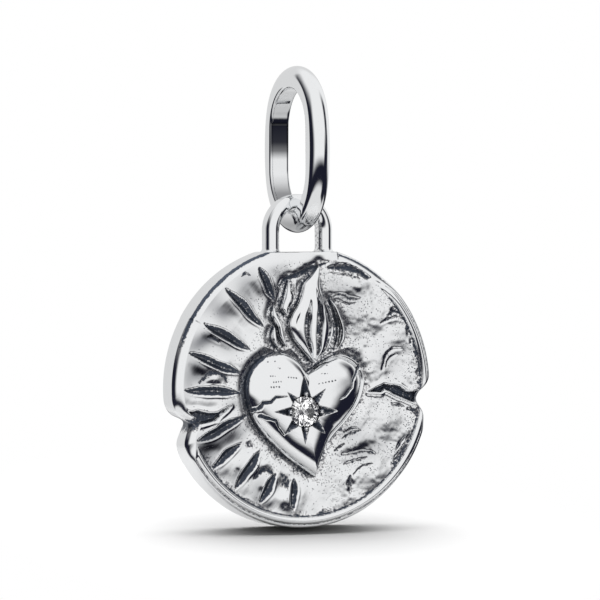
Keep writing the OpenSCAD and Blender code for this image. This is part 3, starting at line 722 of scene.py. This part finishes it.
discSpec = dict(
    edgeRound=0.22, rimEdge=0.13, plainEdge=0.46, flatEdge=0.05, spokes=800,
    rimWidth=0.34, rimInset=0.18, bareFrom=(5.75, 6.15), bareTurn=(85, -170),
    # angles where the rim, its tighter edge and two painted dark reflection lines on the edge fade in and out
    rimTurn=(-155, -151, 38, 52), edgeTurn=(-156, -148, 40, 54),
    reflectionLeft=(98, 104, 140, 176), reflectionRight=(44, 56, 74, 80),
    rayWidth=0.44, rayDepth=0.17, rayLip=0.015, rayPillow=0.028, crackDepth=0.3, crackLip=0.04,
    leftNotchFront=0.75, notchSoften=15, notchDeep=1.08, roughFrom=(0.5, 2.0),
    # rays: angle of the outer end, distance in from the field's edge, angle and radius of the inner end
    rays=[
        (112.5, -0.02, 110, 4.35), (131, -0.15, 126, 3.5), (149.5, 0.07, 147, 3.3),
        (164, -0.13, 168, 3.3), (180.5, -0.1, 183.5, 3.25), (204, 0.05, 203.5, 3.4),
        (218, 0.07, 218, 4.1), (233, 0.2, 232, 3.7), (247, 0.24, 250, 4.3), (264.5, 0.27, 263, 4.3)],
    # notches and cracks: distance in from the rim and height on the face
    leftNotch=[
        (0, -0.6), (0.16, -0.95), (0.3, -1.17), (0.53, -1.32), (0.81, -1.4), (1.03, -1.53), (1.08, -1.66),
        (0.97, -1.85), (0.81, -2.19), (0.69, -2.49), (0.68, -2.7), (0.75, -2.95), (0.8, -3.2)],
    rightNotch=[
        (0, 0.45), (0.11, 0.19), (0.21, 0), (0.42, -0.16), (0.61, -0.32), (0.71, -0.47), (0.73, -0.65),
        (0.66, -0.87), (0.46, -1.08), (0.34, -1.3), (0.31, -1.52), (0.33, -1.85), (0.35, -2.15)],
    leftCrack=[
        (-0.5, -1.05), (0.6, -1.08), (1.15, -1.03), (1.7, -1.15), (2.2, -1.12), (2.8, -0.85),
        (2.35, -1.25), (2.1, -1.45), (1.25, -1.65), (0.6, -2), (-0.5, -2.2)],
    rightCrack=[
        (-0.5, 0), (0.6, -0.2), (0.95, -0.3), (1.25, -0.27), (1.6, -0.05), (2.0, 0), (2.45, 0.1),
        (2.75, -0.02), (3.3, -0.27), (2.6, -0.26), (2.4, -0.15), (1.6, -0.52), (0.7, -0.85), (-0.5, -1.1)],
    # swells and grain: size, seed, shear, squeeze, height, how much more on the rough right side
    swells=[
        (1.3, 1, 0, 1, 0.016, 0.011), (0.55, 2, 0, 1, 0.003, 0.006), (0.2, 12, 0, 1, 0.001, 0.002),
        (0.75, 13, 0, 1, 0, 0.012), (0.16, 3, 0.4, 1, 0, 0.002), (0.4, 4, 0, 2.2, 0, 0.004)],
    # hammer marks: place, reach along and across, turn in degrees, height
    hollows=[
        (-4.74, 0.5, 0.42, 0.24, 4, 0.035), (-4.3, 1.15, 0.7, 0.3, 15, 0.04),
        (4.9, 2.3, 0.9, 0.6, 0, 0.05), (3.4, 3.3, 0.8, 0.9, 20, 0.05), (4.3, -1.7, 0.9, 0.5, 0, 0.05),
        (3.4, -4.3, 0.9, 0.5, 25, 0.06), (2.8, 4.8, 0.7, 0.35, -15, 0.05), (4.7, 3.2, 0.5, 0.2, -5, 0.04),
        (-2.2, -4.5, 0.3, 0.3, 0, 0.06), (-1.0, -5.2, 0.3, 0.4, 0, 0.05), (4.9, 1.1, 0.5, 0.6, 30, -0.05)],
    # leaning patches: place, reach along and across, turn in degrees, slope
    leans=[
        (-3.0, 4.75, 0.9, 0.9, 20, 0.05), (-4.2, 3.75, 1.2, 0.9, -10, 0.05),
        (-5.1, 2.35, 1.2, 0.8, 18, 0.06), (-5.6, 0.8, 0.8, 0.8, 20, 0.045),
        (-4.3, -2.5, 1.4, 0.85, 25, 0.06), (-3.5, -3.9, 0.5, 0.6, 40, 0.06),
        (-2.3, -4.0, 0.6, 0.45, 15, 0.125), (-1.3, -4.5, 0.4, 0.6, 30, 0.115),
        (3.3, -2.75, 0.9, 0.4, 12, 0.115), (2.5, -4.6, 0.4, 0.6, 60, 0.11),
        (1.9, 4.3, 0.7, 0.3, -5, 0.11)],
    # soft painted shade: place, reach along and across, turn in degrees, strength
    paintedShades=[
        (-2.85, 4.7, 0.8, 0.7, -40, 0.5), (-4.2, 3.6, 0.55, 0.42, -20, 0.7),
        (-4.9, 4.1, 0.8, 0.45, 42, 0.45), (-4.95, 2.4, 0.6, 0.3, 15, 0.85),
        (-5.65, 2.1, 0.8, 0.42, 22, 0.65), (-4.1, 2.2, 0.7, 0.5, -30, 0.35),
        (-5.55, 0.85, 0.5, 0.55, 30, 0.8), (-6.05, 0.4, 0.3, 0.8, 0, 0.45),
        (-3.95, -2.3, 0.9, 0.38, 25, 0.8), (-5.0, -2.75, 0.9, 0.55, 32, 0.7),
        (-5.2, -3.3, 0.7, 0.45, -50, 0.5), (-3.35, -4.05, 0.38, 0.3, 40, 0.8),
        (-2.4, -4.8, 0.6, 0.45, 60, 0.4), (-3.6, -0.75, 0.6, 0.25, 0, 0.3),
        (-1.5, 5.5, 0.6, 0.3, 10, 0.3), (2.05, 4.4, 1.0, 0.5, -10, 0.35), (2.5, 2.9, 0.6, 0.8, 0, 0.2),
        (4.35, 1.15, 0.5, 0.7, 20, 0.2), (3.2, -2.95, 1.1, 0.5, 12, 0.4), (2.4, -2.1, 0.7, 0.4, 20, 0.35)],
    # dark marks: points, half width, depth, strength of the oxide
    strokes=[
        ([(-3.25, 5.28), (-3.02, 5.42), (-2.8, 5.3)], 0.12, 0.05, 0.9),
        ([(-4.95, 2.42), (-4.68, 2.38), (-4.4, 2.18)], 0.09, 0.05, 0.9),
        ([(-5.4, 0.3), (-5.15, 0.55), (-4.95, 0.72), (-4.55, 0.78), (-4.2, 0.62), (-4.0, 0.3)],
         0.18, 0.04, 1.0),
        ([(-4.85, 0.12), (-4.5, 0.16), (-4.15, 0.1)], 0.1, 0.03, 0.7),
        ([(-3.9, -1.5), (-3.4, -1.45), (-3.0, -1.3)], 0.13, 0.04, 0.8),
        ([(-2.95, -2.6), (-2.7, -2.72)], 0.16, 0.04, 0.85),
        ([(-3.5, -3.8), (-3.3, -4.2)], 0.15, 0.03, 0.5),
        ([(-2.55, -4.25), (-2.3, -3.95), (-2.05, -3.85), (-1.75, -3.95), (-1.6, -4.2)], 0.17, 0.06, 1.0),
        ([(-1.15, -4.1), (-0.95, -4.45), (-0.75, -4.8)], 0.3, 0.03, 0.85),
        ([(2.0, -2.5), (2.4, -2.25), (2.95, -2.1)], 0.07, 0.04, 0.8),
        ([(2.1, -2.2), (2.5, -2.0), (2.8, -2.0)], 0.06, 0.04, 0.8),
        ([(1.6, -3.05), (2.1, -2.75)], 0.06, 0.03, 0.7),
        ([(2.0, -3.25), (2.6, -3.2), (3.2, -3.1), (3.75, -3.25)], 0.08, 0.04, 0.65),
        ([(2.1, -3.7), (2.7, -3.55), (3.3, -3.4)], 0.06, 0.04, 0.6),
        ([(2.6, -4.2), (3.0, -3.85), (3.6, -3.7)], 0.05, 0.03, 0.5),
        ([(3.35, -3.1), (3.65, -3.2)], 0.12, 0.03, 0.9), ([(2.4, -4.3), (2.42, -5.1)], 0.13, 0.03, 0.5),
        ([(5.75, -2.2), (5.45, -2.7), (5.1, -3.2), (4.75, -3.55)], 0.13, 0.05, 0.85),
        ([(5.3, -2.45), (4.9, -3.0)], 0.07, 0.04, 0.75),
        ([(5.5, -1.15), (5.75, -1.2), (5.9, -1.4)], 0.16, 0.04, 0.85),
        ([(4.6, -0.85), (4.9, -0.95), (5.2, -1.0)], 0.08, 0.03, 0.7),
        ([(1.3, 5.62), (2.1, 5.6), (2.75, 5.45), (3.35, 5.12)], 0.2, 0.06, 1.0),
        ([(1.3, 5.4), (2.2, 5.25), (2.9, 5.1)], 0.06, 0.03, 0.7),
        ([(1.45, 4.25), (1.9, 4.38), (2.4, 4.15), (2.9, 4.15)], 0.1, 0.04, 0.8),
        ([(1.7, 4.05), (2.3, 3.9), (2.7, 3.95)], 0.06, 0.03, 0.6),
        ([(4.45, 3.35), (4.75, 3.52), (5.1, 3.45)], 0.11, 0.06, 1.0),
        ([(4.05, 2.98), (4.5, 3.2), (4.9, 3.28), (5.3, 3.12)], 0.06, 0.04, 0.7),
        ([(4.1, 0.75), (4.3, 1.4), (4.65, 1.72), (5.1, 1.75)], 0.06, 0.04, 0.55),
        ([(4.3, 0.85), (4.45, 1.25), (4.85, 1.5)], 0.05, 0.04, 0.5),
        ([(5.45, 2.6), (5.65, 2.25), (5.6, 2.0)], 0.14, 0.03, 0.6),
        ([(6.0, 0.75), (6.05, 0.45)], 0.14, 0.03, 0.6),
        ([(-1.25, 4.8), (-1.0, 5.1), (-0.55, 5.25), (0.3, 5.6), (1.15, 5.85)], 0.17, 0.1, 1.0)])


def discOutline(turn, radius, seatV):  # radius of the outline at each angle
    spec = discSpec
    edge = np.full(turn.shape, radius)
    up = np.sin(turn) > 0.5
    edge[up] = np.minimum(edge[up], seatV / np.sin(turn[up]))
    for notch, side in ((spec["leftNotch"], -1), (spec["rightNotch"], 1)):
        points = np.array([(side * (radius - inset), v) for inset, v in curve(notch, 90)])
        angles = np.arctan2(points[:, 1], points[:, 0] * side) * side
        order = np.argsort(angles)
        local = np.arctan2(np.sin(turn), np.cos(turn) * side) * side
        near = (local >= angles.min()) & (local <= angles.max()) & (np.cos(turn) * side > 0)
        cut = np.interp(local, angles[order], np.hypot(points[:, 0], points[:, 1])[order])
        edge = np.where(near, np.minimum(edge, cut), edge)
    # soften the notches' corners
    soft = np.exp(-np.linspace(-2, 2, spec["notchSoften"]) ** 2)
    ring = np.concatenate([edge[-len(soft):], edge, edge[: len(soft)]])
    eased = np.convolve(ring, soft / soft.sum(), "same")[len(soft): -len(soft)]
    return np.where(up, edge, np.minimum(eased, radius))


def hammeredField(u, v, rough):  # swells, hammer marks, painted shade and dark marks
    spec = discSpec
    h, oxideAndShade, unshaded = np.zeros(u.shape), np.zeros(u.shape), np.ones(u.shape)
    for size, seed, shear, squeeze, height, more in spec["swells"]:
        h = h + (height + more * rough) * hammerNoise(u + shear * v, squeeze * v, size, seed)
    for *place, rise in spec["hollows"]:
        patch, _ = turnedPatch(u, v, *place)
        h = h + (1 - 0.35 * rough) * rise * patch
    for *place, slope in spec["leans"]:
        patch, across = turnedPatch(u, v, *place)
        h = h + slope * across * patch
    # soft patches of painted shade
    for *place, strength in spec["paintedShades"]:
        patch, _ = turnedPatch(u, v, *place)
        unshaded = unshaded * (1 - strength * patch)
    ragged = 1 + (0.2 + 0.25 * rough) * hammerNoise(u, v, 0.16, 6)
    for points, width, depth, strength in spec["strokes"]:
        away, along = lineDistance(u, v, curve(points, 4 * len(points)))
        wide = width * (0.35 + 0.65 * np.sin(math.pi * along)) * ragged
        h = h - depth * (0.35 + 0.65 * rough) * bell(away, 1.2 * wide)
        oxideAndShade = np.maximum(oxideAndShade, 0.85 * strength * (1 - smooth(0.1, 1.6, away / wide)))
    return h, oxideAndShade, unshaded


def carveRay(u, v, h, oxideAndShade, unshaded, ends, seed):  # a V with raised lips and a paler keel
    spec = discSpec
    run = ends[1] - ends[0]
    half = np.hypot(*run) / 2
    x, y = alongAcross(u, v, *ends.mean(0), math.atan2(run[1], run[0]))
    t = np.clip(x / half, -1, 1)
    body = 1 - t * t
    y = y + 0.035 * np.sin(3.1 * t + seed) * body
    wide = spec["rayWidth"] / 2 * body**0.8 * (1 + 0.18 * hammerNoise(u, v, 0.5, int(seed))) + 1e-4
    side = np.abs(y) / wide
    within = np.abs(x) < half
    inside = within & (side < 1)
    lip = body * bell(np.abs(y) - wide - 0.05, 0.06) * within
    pillow = smooth(1.15, 0.2, np.abs(x + 0.3 * half) / half) * bell(np.abs(y) - wide - 0.15, 0.34)
    raised = h + spec["rayPillow"] * pillow
    h = np.where(inside, h * 0.4 - spec["rayDepth"] * body * (1 - side), raised) + spec["rayLip"] * lip
    slate = (0.9 - 0.28 * bell(y, 0.035)) * smooth(1.0, 0.86, side)
    oxideAndShade = np.where(inside, np.maximum(oxideAndShade, slate), oxideAndShade * (1 - 0.9 * lip))
    # painted shade is lifted off the lips
    unshaded = np.where(inside, unshaded, unshaded + (1 - unshaded) * 0.8 * lip)
    return h, oxideAndShade, unshaded


def groundRelief(u, v, radius):
    spec = discSpec
    r, angle = np.hypot(u, v), np.degrees(np.arctan2(v, u))
    fieldR = radius - spec["rimInset"] - spec["rimWidth"]
    rough = smooth(*spec["roughFrom"], u)
    upper, lower = spec["bareTurn"]
    bare = smooth(*spec["bareFrom"], r) * ((angle > upper) | (angle < lower))  # plain band, upper left
    heartAway = outlineDistance(u, v, heartEdge[::6])
    tongues = flameSpec["pieces"].values()
    flames = [np.vstack([curve(p["left"], 16), curve(p["right"], 16)[-2:0:-1]]) for p in tongues]
    reliefAway = np.min([heartAway] + [outlineDistance(u, v, flamePlace(f)) for f in flames], axis=0)
    nearRelief = np.maximum(reliefAway, 0)
    h, oxideAndShade, unshaded = hammeredField(u, v, rough)
    # a sunk and dark border round the heart and the flame
    h = h * (1 - bare) - 0.07 * bell(nearRelief, 0.3)
    spread = reliefAway + 0.16 * hammerNoise(u, v, 0.35, 7)
    border = 0.5 * (1 - smooth(0.05, 0.6, spread)) + 0.2 * (1 - smooth(0.0, 0.1, reliefAway))
    oxideAndShade = np.maximum(oxideAndShade, border)
    # painted shade: the crease along the heart's lower left is darkened beyond its dark border
    paintedCreviceShade = (1 - smooth(0.03, 0.16, heartAway)) * smooth(-1.2, -2.2, u) * smooth(-1.6, -0.6, v)
    oxideAndShade = np.maximum(oxideAndShade, 0.85 * paintedCreviceShade)
    for outer, inset, inner, innerR in spec["rays"]:
        ends = np.array([polar(fieldR - inset, math.radians(outer)), polar(innerR, math.radians(inner))])
        h, oxideAndShade, unshaded = carveRay(u, v, h, oxideAndShade, unshaded, ends, outer)
    for crack, side in ((spec["leftCrack"], -1), (spec["rightCrack"], 1)):
        away = outlineDistance(u, v, [(side * (radius - inset), b) for inset, b in crack])
        away = away + 0.03 * hammerNoise(u, v, 0.25, 9)
        h = h * smooth(-0.1, 0.25, away) - spec["crackDepth"] * smooth(0.04, -0.1, away)
        h = h + spec["crackLip"] * bell(away - 0.1, 0.09)
        oxideAndShade = np.maximum(oxideAndShade * smooth(-0.02, 0.14, away), 0.78 * smooth(0.01, -0.07, away))
    # rolled rim, with dark lines at its foot
    rimR, middleR = spec["rimWidth"] / 2, fieldR + spec["rimWidth"] / 2
    on = between(*spec["rimTurn"], angle)
    bead = np.sqrt(np.clip(1 - ((r - middleR) / rimR) ** 2, 0, 1)) * rimR
    offBead = 1 - (np.abs(r - middleR) < rimR) * on
    h = h * (1 - on * smooth(fieldR - 0.05, fieldR + 0.05, r)) + bead * on
    foot = on * bell(r - fieldR + 0.03, 0.055)
    scatter = on * (1 - smooth(0.05, 0.45, fieldR - r)) * (0.35 + 0.45 * hammerNoise(u, v, 0.45, 10))
    oxideAndShade = np.maximum(oxideAndShade * offBead, np.maximum(0.8 * foot, scatter * (r < fieldR)))
    oxideAndShade = np.maximum(oxideAndShade, on * 0.62 * bell(r - middleR - rimR - 0.02, 0.03))
    # pits, dullness and painted shade stay off the rim's bead
    field = offBead * (1 - bare) * (r < fieldR + 0.02)
    grit = 0.12 + 0.75 * bell(nearRelief, 0.9) + 0.4 * rough + 0.4 * on * bell(fieldR - r, 0.5)
    grit = grit * (0.65 + 0.7 * hammerNoise(u, v, 0.8, 11)) * field
    tooth = field * (0.4 + 0.6 * np.clip(rough + bell(reliefAway, 1.0), 0, 1))
    paintedShade = (1 - unshaded) * offBead * (1 - 0.2 * bare)
    return h, {"oxideAndShade": np.clip(oxideAndShade, 0, 1), "grit": np.clip(grit, 0, 1), "tooth": tooth, "paintedShade": paintedShade}


def makeDisc():
    spec = discSpec
    low, high = boxOf("medallion_disc")
    radius, seatV = -low[0], high[2] - discZ
    turn = np.linspace(-math.pi, math.pi, spec["spokes"], endpoint=False)
    degrees = np.degrees(turn)
    edge = discOutline(turn, radius, seatV)
    # the left notch is shallower at the front, where the crack's floor runs out to it
    frontEdge = np.where(np.cos(turn) < -0.5, radius - spec["leftNotchFront"] * (radius - edge), edge)
    onFlat = smooth(-0.02, 0.04, radius - edge) * (np.sin(turn) > 0.5)
    # the edge is rounder where there is no rolled rim
    rolled = between(*spec["edgeTurn"], degrees)
    rounding = spec["plainEdge"] + (spec["rimEdge"] - spec["plainEdge"]) * rolled
    rounding = rounding + (spec["flatEdge"] - rounding) * onFlat
    backRound = spec["edgeRound"] + (spec["flatEdge"] - spec["edgeRound"]) * onFlat
    core = radius - spec["edgeRound"]
    steps = [np.linspace(0.05, 1.5, 10), np.arange(1.55, 5.6, 0.05), np.arange(5.6, 6.42, 0.027), [core]]
    front = (frontEdge - rounding)[None, :] * (np.concatenate(steps) / core)[:, None]
    u, v = polar(front, turn)
    h, marks = groundRelief(u, v, radius)
    h = h * smooth(0, 0.06, (frontEdge - rounding)[None, :] - front)
    # rounded front edge, wall, rounded back edge and plain back
    arcTurn = np.linspace(0, 90, 13)[1:, None]
    arc = np.radians(arcTurn)
    wall = np.linspace(0, 1, 9)[1:-1, None]
    back = 2 * halfThick
    profile = [(frontEdge - rounding * (1 - np.sin(arc)), -rounding * (1 - np.cos(arc))),
               (frontEdge + (edge - frontEdge) * wall, -rounding - (back - rounding - backRound) * wall),
               (edge - backRound * (1 - np.cos(arc)), -back + backRound * (1 - np.sin(arc))),
               ((edge - backRound) * np.linspace(1, 0.04, 26)[1:, None], -back)]
    # painted shade in the left notch, laid on every row past the face, so it also runs in across the plain
    # back
    paintedNotchShade = 0.9 * smooth(0.3, 0.8, (radius - edge) / spec["notchDeep"]) * (np.cos(turn) < 0)
    # painted reflection: dark lines on the rounded front edge at the upper left and the upper right
    paintedEdgeReflection = 2.0 * bell(arcTurn - 60, 15) * between(*spec["reflectionLeft"], degrees)
    paintedEdgeReflection = paintedEdgeReflection + 1.2 * bell(arcTurn - 36, 9) * between(*spec["reflectionRight"], degrees)
    sides = [onFace(*polar(reach, turn), depth) for reach, depth in profile]
    rings = np.concatenate([onFace(u, v, h)] + sides)
    full = {mark: np.zeros(rings.shape[:2]) for mark in marks}
    full["oxideAndShade"][:] = paintedNotchShade
    for mark, values in marks.items():
        full[mark][: len(h)] = values
    full["oxideAndShade"][len(h): len(h) + len(arc)] = np.maximum(paintedNotchShade, paintedEdgeReflection)
    start, end = (onFace(0.0, 0.0, depth) for depth in (0.0, -back))
    piece = ringMesh("medallionDisc", rings, start, end, marks=full)
    seat(piece, "medallion", "oxidised_silver", hammeredSilver, "medallion_disc")


makeDisc()
print("medallion disc made")


# camera at the photograph's angle: pixels are those of the 600 by 600 photograph

cameraSpec = dict(
    azimuth=-25.0, elevation=1.5, distance=300.0, pixelsPerMm=21.15, pixels=600, axisX=297.0, topY=66.0)


def makeCamera():
    spec = cameraSpec
    turn, rise = math.radians(spec["azimuth"]), math.radians(spec["elevation"])
    back = np.array([math.sin(turn) * math.cos(rise), -math.cos(turn) * math.cos(rise), math.sin(rise)])
    right = np.array([math.cos(turn), math.sin(turn), 0])
    half = spec["pixels"] / 2
    topZ = boxOf("bail")[1][2]
    aim = right * (half - spec["axisX"]) / spec["pixelsPerMm"]
    aim[2] = topZ - (half - spec["topY"]) / spec["pixelsPerMm"]
    data = bpy.data.cameras.new("photoCamera")
    data.sensor_width = 36
    data.lens = data.sensor_width * spec["distance"] / (spec["pixels"] / spec["pixelsPerMm"])
    data.clip_start, data.clip_end = 0.01, 10
    camera = bpy.data.objects.new("photoCamera", data)
    camera.location = (aim + back * spec["distance"]) * mm
    camera.rotation_mode = "QUATERNION"
    camera.rotation_quaternion = Vector(-back).to_track_quat("-Z", "Y")
    bpy.context.scene.collection.objects.link(camera)
    bpy.context.scene.camera = camera


makeCamera()


# studio: a pale tent with dark flags and a dark gap above the table's edge

studioSpec = dict(
    tent=0.92, backWall=0.74, table=0.8, dark=(0.012, 0.013, 0.024, 1), fill=0.28,
    # in degrees: the dark gap's fades, then where the back wall begins and how high it goes
    gap=(-3, -13, -22, -30), behind=(118, 140), behindRise=(60, 35),
    # dark flags: azimuths where each begins, is full, is still full and ends,
    # lowest and highest rise, fade at the top
    flags=[(-151, -143, -96, -62, -27, 32, 24), (29, 45, 54, 95, -40, 6, 8), (29, 42, 66, 80, -36, -3, 4),
           (42, 58, 66, 86, -40, 40, 16)],
    footFade=4, cardScale=2.2, cardEdge=(0.46, 0.47), lampEdge=(0.42, 0.41), lampCard=1.5,
    floorRadius=16.0, floorGap=0.13, floorTilt=12.0, floorFade=(0.55, 0.98), floorTone=0.92, floorMirror=0.72,
    lampPlace=(0, 10, 150), lampSize=(380.0, 120.0), lampPower=0.43)


def makeWorld():
    spec = studioSpec
    world = bpy.data.worlds.new("studioTent")
    bpy.context.scene.world = world
    world.use_nodes = True
    tree = world.node_tree
    tree.nodes.clear()
    direction = addNode(tree, "ShaderNodeTexCoord").outputs["Generated"]
    x, y, z = addNode(tree, "ShaderNodeSeparateXYZ", {0: direction}).outputs
    azimuth = times(tree, maths(tree, "ARCTAN2", x, times(tree, y, -1.0)), 180 / math.pi)
    rise = times(tree, maths(tree, "ARCSINE", z), 180 / math.pi)
    dark = spec["dark"]
    begin, full = spec["behind"]
    behind = mapped(tree, maths(tree, "ABSOLUTE", azimuth), begin, full)
    behind = times(tree, behind, mapped(tree, rise, *spec["behindRise"]))
    level = mixed(tree, behind, grey(spec["tent"]), grey(spec["backWall"]))
    top, under, deep, foot = spec["gap"]
    ahead = mapped(tree, azimuth, -full, -begin)
    level = mixed(tree, times(tree, mapped(tree, rise, top, under), ahead), level, dark)
    level = mixed(tree, mapped(tree, rise, deep, foot), level, grey(spec["table"]))
    for a, b, c, d, low, high, fade in spec["flags"]:
        across = times(tree, mapped(tree, azimuth, a, b), mapped(tree, azimuth, d, c))
        upright = mapped(tree, rise, high + fade, high - fade)
        upright = times(tree, mapped(tree, rise, low - spec["footFade"], low + spec["footFade"]), upright)
        level = mixed(tree, times(tree, across, upright), level, dark)
    rays = addNode(tree, "ShaderNodeLightPath").outputs
    # small dark cards and bright ones that make the stone sparkle
    patches = cloud(tree, direction, spec["cardScale"], 1.0)["Fac"]
    inStone = maths(tree, "GREATER_THAN", rays["Transmission Depth"], 0.5)
    for edge, tone in ((spec["cardEdge"], dark), (spec["lampEdge"], grey(spec["lampCard"]))):
        level = mixed(tree, times(tree, mapped(tree, patches, *edge), inStone), level, tone)
    level = mixed(tree, maths(tree, "GREATER_THAN", rays["Diffuse Depth"], 0.5), level, dark)
    level = mixed(tree, rays["Is Diffuse Ray"], level, grey(spec["fill"]))
    level = mixed(tree, rays["Is Camera Ray"], level, grey(1))
    shade = addNode(tree, "ShaderNodeBackground", {"Color": level, "Strength": 1.0})
    out = addNode(tree, "ShaderNodeOutputWorld")
    tree.links.new(shade.outputs[0], out.inputs["Surface"])


def makeFloor():
    spec = studioSpec
    reach = spec["floorRadius"]
    turns = np.linspace(0, 2 * math.pi, 96, endpoint=False)
    bottom = boxOf("medallion_disc")[0][2] - spec["floorGap"]
    slope = math.tan(math.radians(spec["floorTilt"]))
    x, y = polar(np.linspace(0.02, 1, 24)[:, None] * reach, turns)
    floor = ringMesh("studioFloor", np.stack([x, y, bottom + slope * y], axis=-1), np.array([0, 0, bottom]))
    material, tree = newMaterial("paleFloor")
    tree.nodes.clear()
    flat = vectorMaths(tree, "MULTIPLY", objectPlace(tree), (1, 1, 0))[0]
    away = vectorMaths(tree, "LENGTH", flat)["Value"]
    fade = mapped(tree, away, *(share * reach * mm for share in spec["floorFade"]))
    # light that the silver throws back into its own shadow is left out
    rays = addNode(tree, "ShaderNodeLightPath").outputs
    tone = mixed(tree, rays["Is Glossy Ray"], grey(spec["floorTone"]), grey(spec["floorMirror"]))
    tone = mixed(tree, maths(tree, "GREATER_THAN", rays["Diffuse Depth"], 0.5), tone, grey(0))
    matte = addNode(tree, "ShaderNodeBsdfDiffuse", {"Color": tone})
    clear = addNode(tree, "ShaderNodeBsdfTransparent")
    both = addNode(tree, "ShaderNodeMixShader", {0: fade, 1: matte.outputs[0], 2: clear.outputs[0]})
    out = addNode(tree, "ShaderNodeOutputMaterial")
    tree.links.new(both.outputs[0], out.inputs["Surface"])
    floor.data.materials.append(material)


def makeLamp():
    spec = studioSpec
    data = bpy.data.lights.new("softBox", "AREA")
    data.shape = "ELLIPSE"
    data.size, data.size_y = (size * mm for size in spec["lampSize"])
    data.energy = spec["lampPower"]
    lamp = bpy.data.objects.new("softBox", data)
    middle = Vector((0, 0, discZ)) * mm
    lamp.location = middle + Vector(spec["lampPlace"]) * mm
    lamp.rotation_mode = "QUATERNION"
    lamp.rotation_quaternion = (middle - lamp.location).to_track_quat("-Z", "Y")
    lamp.visible_glossy = False
    bpy.context.scene.collection.objects.link(lamp)


makeWorld()
makeFloor()
makeLamp()
bpy.context.scene.view_settings.view_transform = "Standard"
print("studio made")
